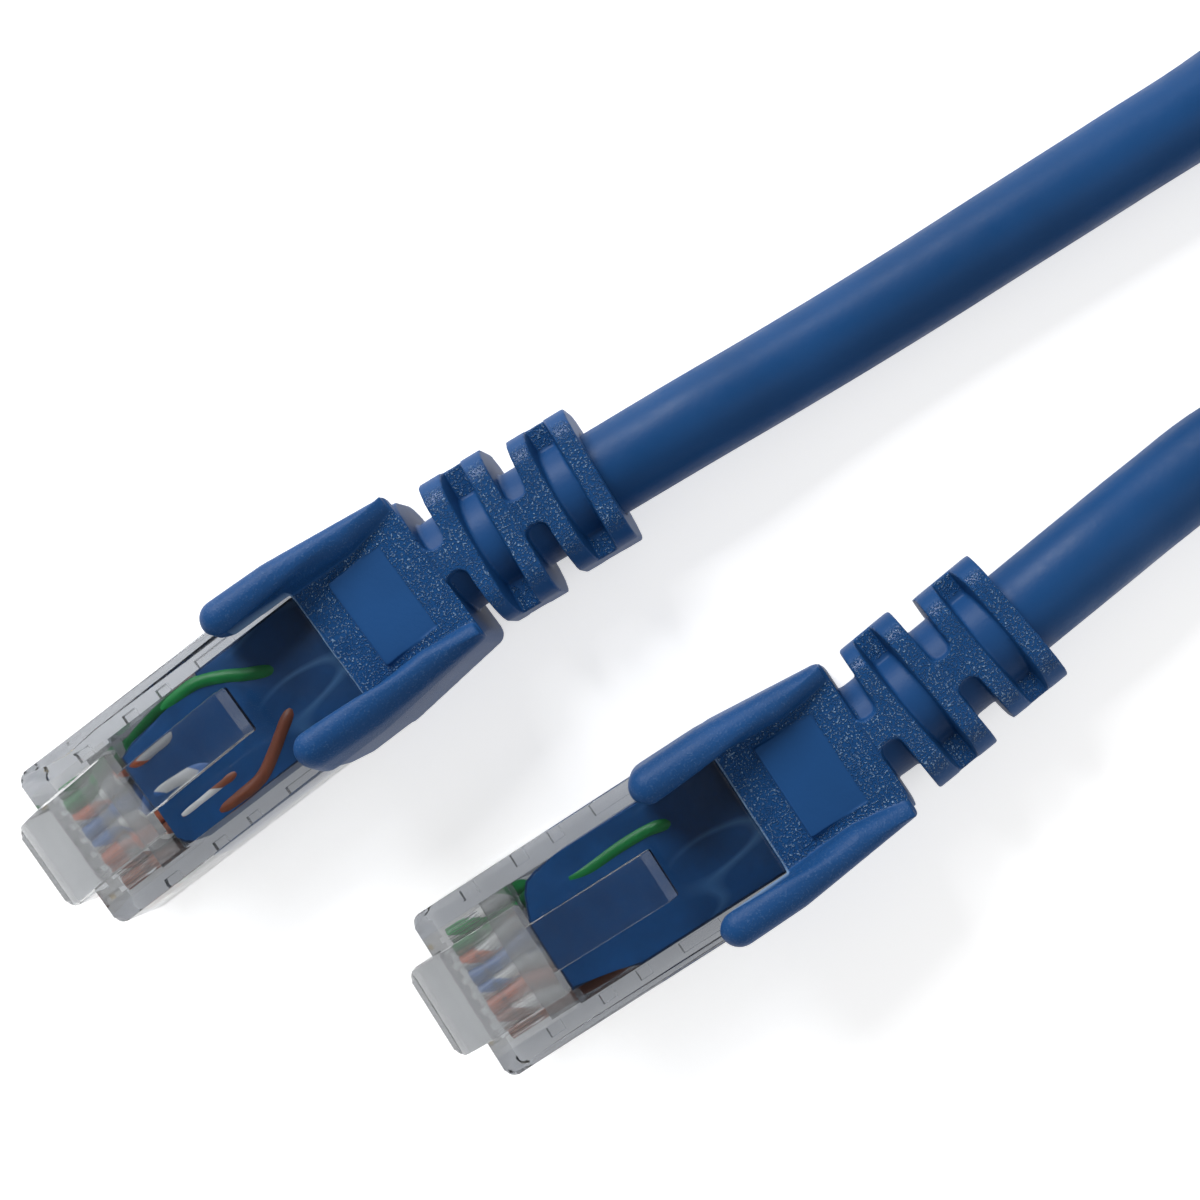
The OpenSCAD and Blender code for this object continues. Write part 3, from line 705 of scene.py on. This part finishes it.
def make_tie():
    first, second = coil_point(TIE_TURN), coil_point(1 + TIE_TURN)
    radius = CABLE_R + TIE_SLACK + TIE_T / 2
    shape = bmesh.new()
    rings = []
    steps = int(TIE_STEPS * (1 + TIE_LAP))
    for step in range(steps + 1):
        share = step / TIE_STEPS
        lap = smooth_step((share - 1) / TIE_STEP_UP + 0.5) * TIE_T
        point, out = hoop_point(first, second, radius + lap, share + TIE_START)
        rings.append([shape.verts.new(point + Vector((0, wide, 0)) + out * thick)
                      for wide, thick in tie_section()])
    for ring, following in zip(rings, rings[1:]):
        for side in range(len(ring)):
            other = (side + 1) % len(ring)
            shape.faces.new((ring[side], ring[other], following[other], following[side]))
    shape.faces.new(rings[0])
    shape.faces.new(list(reversed(rings[-1])))
    bmesh.ops.recalc_face_normals(shape, faces=shape.faces)
    mesh = bpy.data.meshes.new("coil_tie_strap")
    shape.to_mesh(mesh)
    shape.free()
    mesh.transform(Matrix.Scale(MM, 4))
    shade_smooth(mesh, keep_edges=True)
    tie = new_object("coil_tie_strap", mesh, [STRAP])
    place(tie, "root", "tie_fabric", "coil_tie")
    return tie


make_cord(make_tie())

# ---- Boots: the CAD solid, remeshed so that every edge is soft as moulded ----

BOOT_VOXEL = 0.1
BOOT_SMOOTHING = 7
BOOT_SOFTNESS = 0.5
BOOT_DETAIL = 0.4
PAD_FROM = HOUSING_L + 2.4
PAD_TO = PAD_FROM + 4.1
PAD_HALF_W = 3.15
RIB_TOP = 7.5
SIDE_PAD_FROM = 3.3
SIDE_PAD_Z = 5.2
CHEEK_GRAIN = 0.12
# A highlight line painted along the well's front edge: its strength, its length and its band of heights
EDGE_HIGHLIGHT = 0.8
EDGE_HIGHLIGHT_L = 0.1
EDGE_HIGHLIGHT_Z = (HOUSING_TOP - 0.3, HOUSING_TOP + 0.6)
# Where the grain lies: on faces that look up, in the well between the cheeks and on the ribs
UP_FROM = 0.7
UP_OVER = 0.2
COLLAR_L = 0.2
WELL_BAND = 0.25
WELL_RISE = 0.7
WELL_HALF_W = 5.6
# The cheeks' inner sides: their foot in the well, and how deep they are hollow above it,
# which is least just behind the middle
CHEEK_ROOT = 3.8
ROOT_SPLAY = 1.0
HOLLOW_FRONT = 0.6
HOLLOW_CHANGE = 1.05
HOLLOW_SPREAD = 1.3
HOLLOW_NARROWS = 0.6
CROWN_Z = 9.9
CROWN_OVER = 1.2
WELL_OVER = 0.2
CHEEK_LEAN = {"a": 0.6, "b": -0.3}
LEAN_FROM = 6.5
LEAN_OVER = 3.9
PAD_SINK = 0.15
PAD_EDGE = 0.1


def grain_at(plug, point, normal):
    """How eroded the boot's surface is at a point, from 0 to 1."""
    facing_up = smooth_step((normal.z - UP_FROM) / UP_OVER)
    if point.x > BOOT_END + COLLAR_L:
        behind = point.x - BOOT_END
        aside = abs(point.y - plug.bend_side * behind * math.tan(math.radians(plug.flex)))
        rib_top = point.z > RIB_TOP
        side_pad = aside > SIDE_PAD_FROM and point.z > SIDE_PAD_Z
        return facing_up if rib_top or side_pad else 0
    well_z = HOUSING_TOP + WELL_RISE * max(point.x - HOUSING_L, 0) / BOOT_L
    in_well = point.z < well_z + WELL_BAND and abs(point.y) < WELL_HALF_W
    on_pad = PAD_FROM < point.x < PAD_TO and abs(point.y) < PAD_HALF_W
    if point.x > HOUSING_L and in_well and not on_pad:
        return facing_up
    return 0 if on_pad else CHEEK_GRAIN


def edge_highlight_at(point):
    """A highlight line painted along the front edge of the well between the cheeks."""
    low, high = EDGE_HIGHLIGHT_Z
    at_edge = point.x < HOUSING_L + EDGE_HIGHLIGHT_L and low < point.z < high
    return EDGE_HIGHLIGHT if at_edge and abs(point.y) < CHEEK_ROOT else 0


def hand_shaped(plug, point):
    """The cheeks lean, their inner sides are hollow under the crown, and the pad lies almost flush."""
    across_y = point.y + CHEEK_LEAN[plug.key] * smooth_step((point.z - LEAN_FROM) / LEAN_OVER)
    back = min(max((point.x - HOUSING_L) / BOOT_L, 0), 1)
    past_root = abs(point.y) - CHEEK_ROOT - ROOT_SPLAY * back
    spread = HOLLOW_SPREAD if past_root < 0 else HOLLOW_SPREAD - HOLLOW_NARROWS * back
    beside = 1 - min(abs(past_root) / spread, 1)
    over_well = smooth_step((point.z - HOUSING_TOP + WELL_OVER) / WELL_OVER)
    under_crown = over_well * smooth_step((CROWN_Z - point.z) / CROWN_OVER)
    hollow = abs(HOLLOW_FRONT - HOLLOW_CHANGE * back)
    across_y += math.copysign(hollow * smooth_step(beside) * under_crown, point.y)
    inside = min(point.x - PAD_FROM, PAD_TO - point.x, PAD_HALF_W - abs(point.y)) + PAD_EDGE
    sink = PAD_SINK * smooth_step(inside / (2 * PAD_EDGE)) * over_well
    return Vector((point.x, across_y, point.z - sink))


def make_boot(plug):
    name = plug.node("boot")
    mesh = NODES[name].data.copy()
    mesh.transform(plug.inverse)
    rough = new_object(name + "_rough", mesh, [])
    remesh = rough.modifiers.new("remesh", "REMESH")
    remesh.mode = "VOXEL"
    remesh.voxel_size = BOOT_VOXEL
    soften = rough.modifiers.new("soften", "SMOOTH")
    soften.factor = BOOT_SOFTNESS
    soften.iterations = BOOT_SMOOTHING
    thin = rough.modifiers.new("thin", "DECIMATE")
    thin.ratio = BOOT_DETAIL
    shell = finished_mesh(rough, name + "_moulded")
    bpy.data.objects.remove(rough)
    shade_smooth(shell)
    grain = shell.attributes.new("grain", "FLOAT", "POINT")
    # A second attribute marks where a highlight line is painted along the well's front edge
    edge_highlight = shell.attributes.new("edge_highlight", "FLOAT", "POINT")
    for vertex in shell.vertices:
        grain.data[vertex.index].value = grain_at(plug, vertex.co, vertex.normal)
        edge_highlight.data[vertex.index].value = edge_highlight_at(vertex.co)
    for vertex in shell.vertices:
        if vertex.co.x < BOOT_END:
            vertex.co = hand_shaped(plug, vertex.co)
    stand_on_plug(plug, name + "_moulded", shell, [BOOT], "root", "boot_pvc", name)


# ---- Clear housing: bevelled outside, with its chambers, bores, slots and crimp window ----

HOUSING_CORNER = 0.65
NOSE_L = 2.0
NOSE_W = 6.3
NOSE_LOW = 3.8
NOSE_CORNER = 0.7
EDGE_BEVEL = 0.22
CAVITY_FROM = 6.2
CAVITY_W = 8.6
CAVITY_LOW = 1.4
CAVITY_HIGH = 6.3
BAR_FROM = 3.8
BAR_LOW = 2.0
BAR_HIGH = 4.4
BAR_GAP = 0.02
BAR_BEVEL = 0.08
WIRE_FROM = 0.9
BORE_R = 0.5
SLOT_W = 0.41
BLADE_L = 2.6
BLADE_GAP = 0.03
BLADE_LOW = HOUSING_LIFT + 0.2
BLADE_TOP = WIRE_Z - 0.25
MOUTH_TOP = HOUSING_LIFT + 1.3
CRIMP_FROM = 11.4
CRIMP_L = 3.6
CRIMP_W = 7.4
CRIMP_TOP = HOUSING_LIFT + 0.4
# How far a cut runs past the face it opens, and into the space it joins
OVER = 1.0
JOIN = 0.05
# Where the milky front ends, and the slack for faces cut along its sides
MILKY_TO = 6.1
SPLIT_SLACK = 0.001
# Shallow recesses on the underside of both side walls
WALL_RECESSES = [(2.6, 3.7), (6.6, 7.6), (9.4, 10.3), (12.6, 15.6)]
RECESS_IN = 4.75
RECESS_OUT = 5.45
RECESS_TOP = 1.1


def wire_y(number):
    return (4.5 - number) * CONTACT_PITCH


def make_housing(plug):
    shell = extruded([upright(blunt_outline(0, HOUSING_L, HOUSING_W, HOUSING_CORNER),
                              HOUSING_LIFT, HOUSING_TOP)], EDGE_BEVEL)
    nose = extruded([upright(blunt_outline(-NOSE_L, OVER, NOSE_W, NOSE_CORNER),
                             NOSE_LOW, HOUSING_TOP)], EDGE_BEVEL)
    half = CAVITY_W / 2
    cavity = extruded([block((CAVITY_FROM, -half, CAVITY_LOW), (HOUSING_L + OVER, half, CAVITY_HIGH))])
    chamber = extruded([block((BAR_FROM, -half, BAR_LOW), (CAVITY_FROM + JOIN, half, BAR_HIGH))])
    bores = extruded([rod(WIRE_FROM, BAR_FROM + JOIN, wire_y(number), WIRE_Z, BORE_R)
                      for number in range(1, 9)])
    mouths = extruded([block((-OVER, wire_y(number) - SLOT_W / 2, -OVER),
                             (WIRE_FROM + BLADE_L, wire_y(number) + SLOT_W / 2, MOUTH_TOP))
                       for number in range(1, 9)])
    blades = extruded([block((WIRE_FROM - BLADE_GAP, wire_y(number) - SLOT_W / 2, BLADE_LOW),
                             (WIRE_FROM + BLADE_L + BLADE_GAP, wire_y(number) + SLOT_W / 2, BLADE_TOP))
                       for number in range(1, 9)])
    crimp = extruded([across([
        (CRIMP_FROM, HOUSING_LIFT - OVER), (CRIMP_FROM, HOUSING_LIFT),
        (CRIMP_FROM + CRIMP_L / 2, CRIMP_TOP), (CRIMP_FROM + CRIMP_L, CRIMP_TOP),
        (CRIMP_FROM + CRIMP_L, HOUSING_LIFT - OVER)], CRIMP_W)])
    recesses = extruded([block((start, min(side * RECESS_IN, side * RECESS_OUT), -OVER),
                               (end, max(side * RECESS_IN, side * RECESS_OUT), RECESS_TOP))
                         for start, end in WALL_RECESSES for side in (-1, 1)])
    mesh = carved(shell, [("UNION", nose), ("DIFFERENCE", cavity), ("DIFFERENCE", chamber),
                          ("DIFFERENCE", bores), ("DIFFERENCE", mouths), ("DIFFERENCE", blades),
                          ("DIFFERENCE", crimp), ("DIFFERENCE", recesses)])
    split_at(mesh, [((MILKY_TO, 0, 0), (1, 0, 0)),
                    ((0, half, 0), (0, 1, 0)), ((0, -half, 0), (0, 1, 0))])
    shade_smooth(mesh, keep_edges=True)
    for polygon in mesh.polygons:
        middle = polygon.center
        milky = middle.x < MILKY_TO and abs(middle.y) < half + SPLIT_SLACK
        polygon.material_index = 1 if milky else 0
    name = plug.node("housing")
    stand_on_plug(plug, name + "_clear", mesh, [CLEAR, MILKY], "root", "clear_polycarbonate", name)


def make_load_bar(plug):
    half = CAVITY_W / 2 - BAR_GAP
    bar = extruded([block((BAR_FROM + BAR_GAP, -half, BAR_LOW + BAR_GAP),
                          (CAVITY_FROM - BAR_GAP, half, BAR_HIGH - BAR_GAP))], BAR_BEVEL, 2)
    bores = extruded([rod(BAR_FROM - OVER, CAVITY_FROM + OVER, wire_y(number), WIRE_Z, BORE_R)
                      for number in range(1, 9)])
    mesh = carved(bar, [("DIFFERENCE", bores)])
    shade_smooth(mesh, keep_edges=True)
    name = plug.node("load_bar")
    stand_on_plug(plug, name + "_comb", mesh, [HAZY_BAR], "root", "clear_polycarbonate", name)


# ---- Latch: a thin root, a thick hazy block with the locking shoulders, and a long tail ----

BEAD_AT = 1.1
LATCH_W = 6.2
TAIL_W = 3.3
SHOULDER_AT = 6.75
TAIL_AT = 15.7
LATCH_LOW = 0.25
TAIL_TOP = 1.2
BLOCK_TOP = 1.24
BLOCK_FROM = 5.3
HAZE_FROM = BLOCK_FROM - 0.6
HAZE_PAST = 0.1
LATCH_BEVEL = 0.14


def make_latch(plug):
    rise = math.radians(LATCH_RISE)
    block_end = (SHOULDER_AT + BEAD_AT) / math.cos(rise)
    tail_end = (TAIL_AT + BEAD_AT) / math.cos(rise)
    lever = extruded([across([
        (-0.62, 0.02), (0.4, 0.10), (1.3, LATCH_LOW), (block_end, LATCH_LOW), (block_end, BLOCK_TOP),
        (BLOCK_FROM, BLOCK_TOP), (2.4, 1.15), (0.6, 0.9), (-0.3, 0.5)],
        LATCH_W)], LATCH_BEVEL, 2)
    tail = extruded([across([
        (BLOCK_FROM, LATCH_LOW), (tail_end, LATCH_LOW), (tail_end, LATCH_LOW + 0.35),
        (tail_end - 0.45, TAIL_TOP), (BLOCK_FROM, TAIL_TOP)], TAIL_W)], LATCH_BEVEL, 2)
    mesh = carved(lever, [("UNION", tail)])
    shade_smooth(mesh, keep_edges=True)
    for polygon in mesh.polygons:
        polygon.material_index = 1 if HAZE_FROM < polygon.center.x < block_end + HAZE_PAST else 0
    hinge = Matrix.Translation((-BEAD_AT, 0, HOUSING_TOP)) @ Matrix.Rotation(-rise, 4, "Y")
    mesh.transform(hinge)
    name = plug.node("latch_lever")
    stand_on_plug(plug, name + "_clear", mesh, [CLEAR_LATCH, HAZY_LATCH],
                  f"plug_{plug.key}_latch", "clear_polycarbonate", name)


# ---- Inner mould and wires ----

MOULD_SINK = 0.01
MOULD_BEVEL = 0.2
WALL = CAVITY_W / 2 + MOULD_SINK
MOULD_OUTLINES = {
    "a": [(6.19, -3.5), *arc(6.99, -3.5, 0.8, 180, 270)[1:], (HOUSING_L, -WALL), (HOUSING_L, WALL),
          (13.3, WALL), (13.2, 3.5), (10.0, 3.45), (7.3, 3.2), (6.19, 2.8)],
    "b": [(6.19, -3.35), (9.3, -3.55), (10.7, -WALL), (HOUSING_L, -WALL), (HOUSING_L, WALL),
          (9.8, WALL), (8.2, 4.15), (7.35, 3.9), (6.8, 3.2), (6.19, 1.75)],
}


def make_mould(plug):
    mesh = extruded([upright(MOULD_OUTLINES[plug.key], CAVITY_LOW - MOULD_SINK,
                             CAVITY_HIGH + MOULD_SINK)], MOULD_BEVEL)
    shade_smooth(mesh, keep_edges=True)
    name = plug.node("inner_mould")
    stand_on_plug(plug, name + "_shot", mesh, [MOULD], "root", "boot_pvc", name)


WIRE_VISIBLE_R = 0.505
WIRE_STRAIGHT_TO = 3.3
WIRE_END = 17.5
# Where each wire runs behind its straight row, when it leaves the row
WIRE_ROUTES = {
    "a": {
        1: [(4.6, 3.55, 3.3), (6.2, 3.60, 3.7), (9.0, 3.60, 4.3), (13.0, 3.3, 4.7), (17.4, 2.4, 4.4)],
        2: [(4.6, 2.80, 3.5), (5.9, 3.15, 3.9), (7.3, 3.50, 4.8), (10.0, 3.72, 5.75), (12.1, 3.75, 6.0),
            (13.3, 3.60, 6.04), (14.8, 2.92, 6.05), (15.9, 2.23, 6.05), (17.2, 1.55, 6.0),
            (18.0, 1.2, 5.4)],
        3: [(5.0, 1.65, 3.9), (6.2, 1.70, 5.5), (7.2, 1.60, 6.00), (8.6, 1.60, 6.02), (9.8, 1.6, 5.92),
            (11.2, 1.9, 5.2), (17.4, 1.6, 4.0)],
        4: [(5.0, 0.50, 3.5), (6.3, 0.55, 4.6), (7.4, 0.6, 5.5), (9.0, 0.6, 5.5), (11.0, 0.5, 5.2),
            (17.4, 0.4, 4.0)],
        5: [(5.0, -0.45, 3.9), (6.0, -0.3, 5.3), (6.7, -0.2, 5.80), (8.6, -0.25, 5.87),
            (10.6, -0.4, 5.84), (11.8, -0.55, 5.3), (17.4, -0.5, 4.0)],
        6: [(5.0, -1.50, 3.8), (6.3, -1.5, 5.1), (7.6, -1.42, 5.6), (9.2, -1.3, 5.6),
            (11.0, -1.35, 5.5), (12.6, -1.42, 5.4), (14.0, -1.4, 5.0), (17.4, -1.2, 4.0)],
        7: [(5.0, -2.55, 3.9), (6.2, -2.58, 5.3), (7.2, -2.56, 5.80), (9.0, -2.52, 5.86),
            (10.6, -2.48, 5.87), (11.7, -2.46, 5.82), (13.2, -2.4, 5.0), (17.4, -2.0, 4.0)],
        8: [(5.0, -3.60, 3.4), (7.0, -3.75, 4.3), (9.2, -3.80, 5.7), (11.0, -3.82, 6.0),
            (12.9, -3.70, 6.04), (14.5, -2.90, 6.04), (15.6, -2.2, 6.02), (16.7, -1.55, 5.96),
            (17.8, -1.0, 5.2)],
    },
    "b": {
        1: [(4.6, 3.65, 3.3), (5.9, 3.75, 3.8), (7.0, 3.65, 4.6), (9.0, 3.4, 4.8), (17.4, 2.5, 4.0)],
        2: [(4.6, 2.65, 3.4), (5.9, 2.75, 3.9), (6.8, 2.95, 5.0), (7.8, 3.00, 5.6), (9.4, 2.65, 5.78),
            (11.0, 2.42, 5.9), (13.4, 2.52, 5.97), (15.4, 2.46, 5.99), (16.6, 2.2, 5.96),
            (17.6, 1.8, 5.2)],
        8: [(5.0, -3.60, 3.3), (7.0, -3.75, 3.6), (9.2, -3.75, 3.9), (12.0, -3.4, 4.0),
            (17.4, -2.6, 4.0)],
    },
}


def make_wires(plug):
    for number, (slot, _, _) in enumerate(WIRES, 1):
        y = wire_y(number)
        onward = WIRE_ROUTES[plug.key].get(number, [(WIRE_END, y, WIRE_Z)])
        path = smooth_path([(WIRE_FROM, y, WIRE_Z), (2.1, y, WIRE_Z), (WIRE_STRAIGHT_TO, y, WIRE_Z),
                            *onward])
        mesh = tube(path, WIRE_VISIBLE_R)
        shade_smooth(mesh, keep_edges=True)
        name = plug.node(f"wire_{number}")
        stand_on_plug(plug, name + "_lead", mesh, [INSULATION[slot]], "root", slot, name)


# ---- CAD nodes that keep their shape ----


def repaint(node, material):
    mesh = NODES[node].data
    mesh.materials.clear()
    mesh.materials.append(material)


for plug in PLUGS:
    make_boot(plug)
    make_housing(plug)
    make_load_bar(plug)
    make_latch(plug)
    make_mould(plug)
    make_wires(plug)
    repaint(plug.node("contacts"), GOLD)
    repaint(plug.node("conductors"), COPPER)
    repaint(plug.node("jacket_end"), JACKET)

# ---- Floor, light and background ----

FLOOR_SIZE = 4.0
FLOOR_Z = -0.00002
FLOOR_GLOW = 0.56
LIT_POINT = (20, 0, 0)
# Brightness of the studio by height, from the horizon to straight overhead
SKY = [(0.0, grey(1.0)), (0.3, grey(0.9)), (0.55, grey(0.35)), (0.75, grey(0.14)), (1.0, grey(0.10))]
SKY_ON_MATT = 0.34


def seen_directly(tree):
    """1 towards the camera, gloss and glass, and 0 for the light that falls on matt surfaces."""
    ray = tree.nodes.new("ShaderNodeLightPath")
    return math_node(tree, "MAXIMUM", ray.outputs["Is Camera Ray"], math_node(
        tree, "MAXIMUM", ray.outputs["Is Glossy Ray"], ray.outputs["Is Transmission Ray"]))


def make_floor():
    """A white floor: it glows towards the camera, gloss and glass, and keeps its shadows."""
    mesh = bpy.data.meshes.new("floor")
    half = FLOOR_SIZE / 2
    mesh.from_pydata([(-half, -half, FLOOR_Z), (half, -half, FLOOR_Z), (half, half, FLOOR_Z),
                      (-half, half, FLOOR_Z)], [], [(0, 1, 2, 3)])
    material, tree, shader = new_material("floor")
    set_inputs(shader, Base_Color=(0.85, 0.85, 0.85, 1), Roughness=0.9, Emission_Color=(1, 1, 1, 1))
    link(tree, math_node(tree, "MULTIPLY", seen_directly(tree), FLOOR_GLOW),
         shader.inputs["Emission Strength"])
    floor = new_object("floor", mesh, [material])


def area_light(name, place_mm, target_mm, size_mm, watts):
    data = bpy.data.lights.new(name, "AREA")
    data.size = size_mm * MM
    data.energy = watts
    lamp = bpy.data.objects.new(name, data)
    bpy.context.scene.collection.objects.link(lamp)
    lamp.location = Vector(place_mm) * MM
    direction = Vector(target_mm) - Vector(place_mm)
    lamp.rotation_euler = direction.to_track_quat("-Z", "Y").to_euler()


def make_world():
    """A pale studio that is darker overhead, where the camera stands."""
    world = bpy.data.worlds.new("studio")
    world.use_nodes = True
    tree = world.node_tree
    background = tree.nodes["Background"]
    way = tree.nodes.new("ShaderNodeTexCoord")
    height = tree.nodes.new("ShaderNodeSeparateXYZ")
    link(tree, way.outputs["Generated"], height.inputs["Vector"])
    sky = ramp(tree, height.outputs["Z"], SKY)
    link(tree, blend_colours(tree, seen_directly(tree), grey(SKY_ON_MATT), sky),
         background.inputs["Color"])
    background.inputs["Strength"].default_value = 1.0
    bpy.context.scene.world = world


make_floor()
make_world()
area_light("key", (0, 275, 195), LIT_POINT, 160, 1.10)
area_light("fill", (160, -120, 200), LIT_POINT, 200, 0.12)
bpy.context.scene.view_settings.view_transform = "Standard"
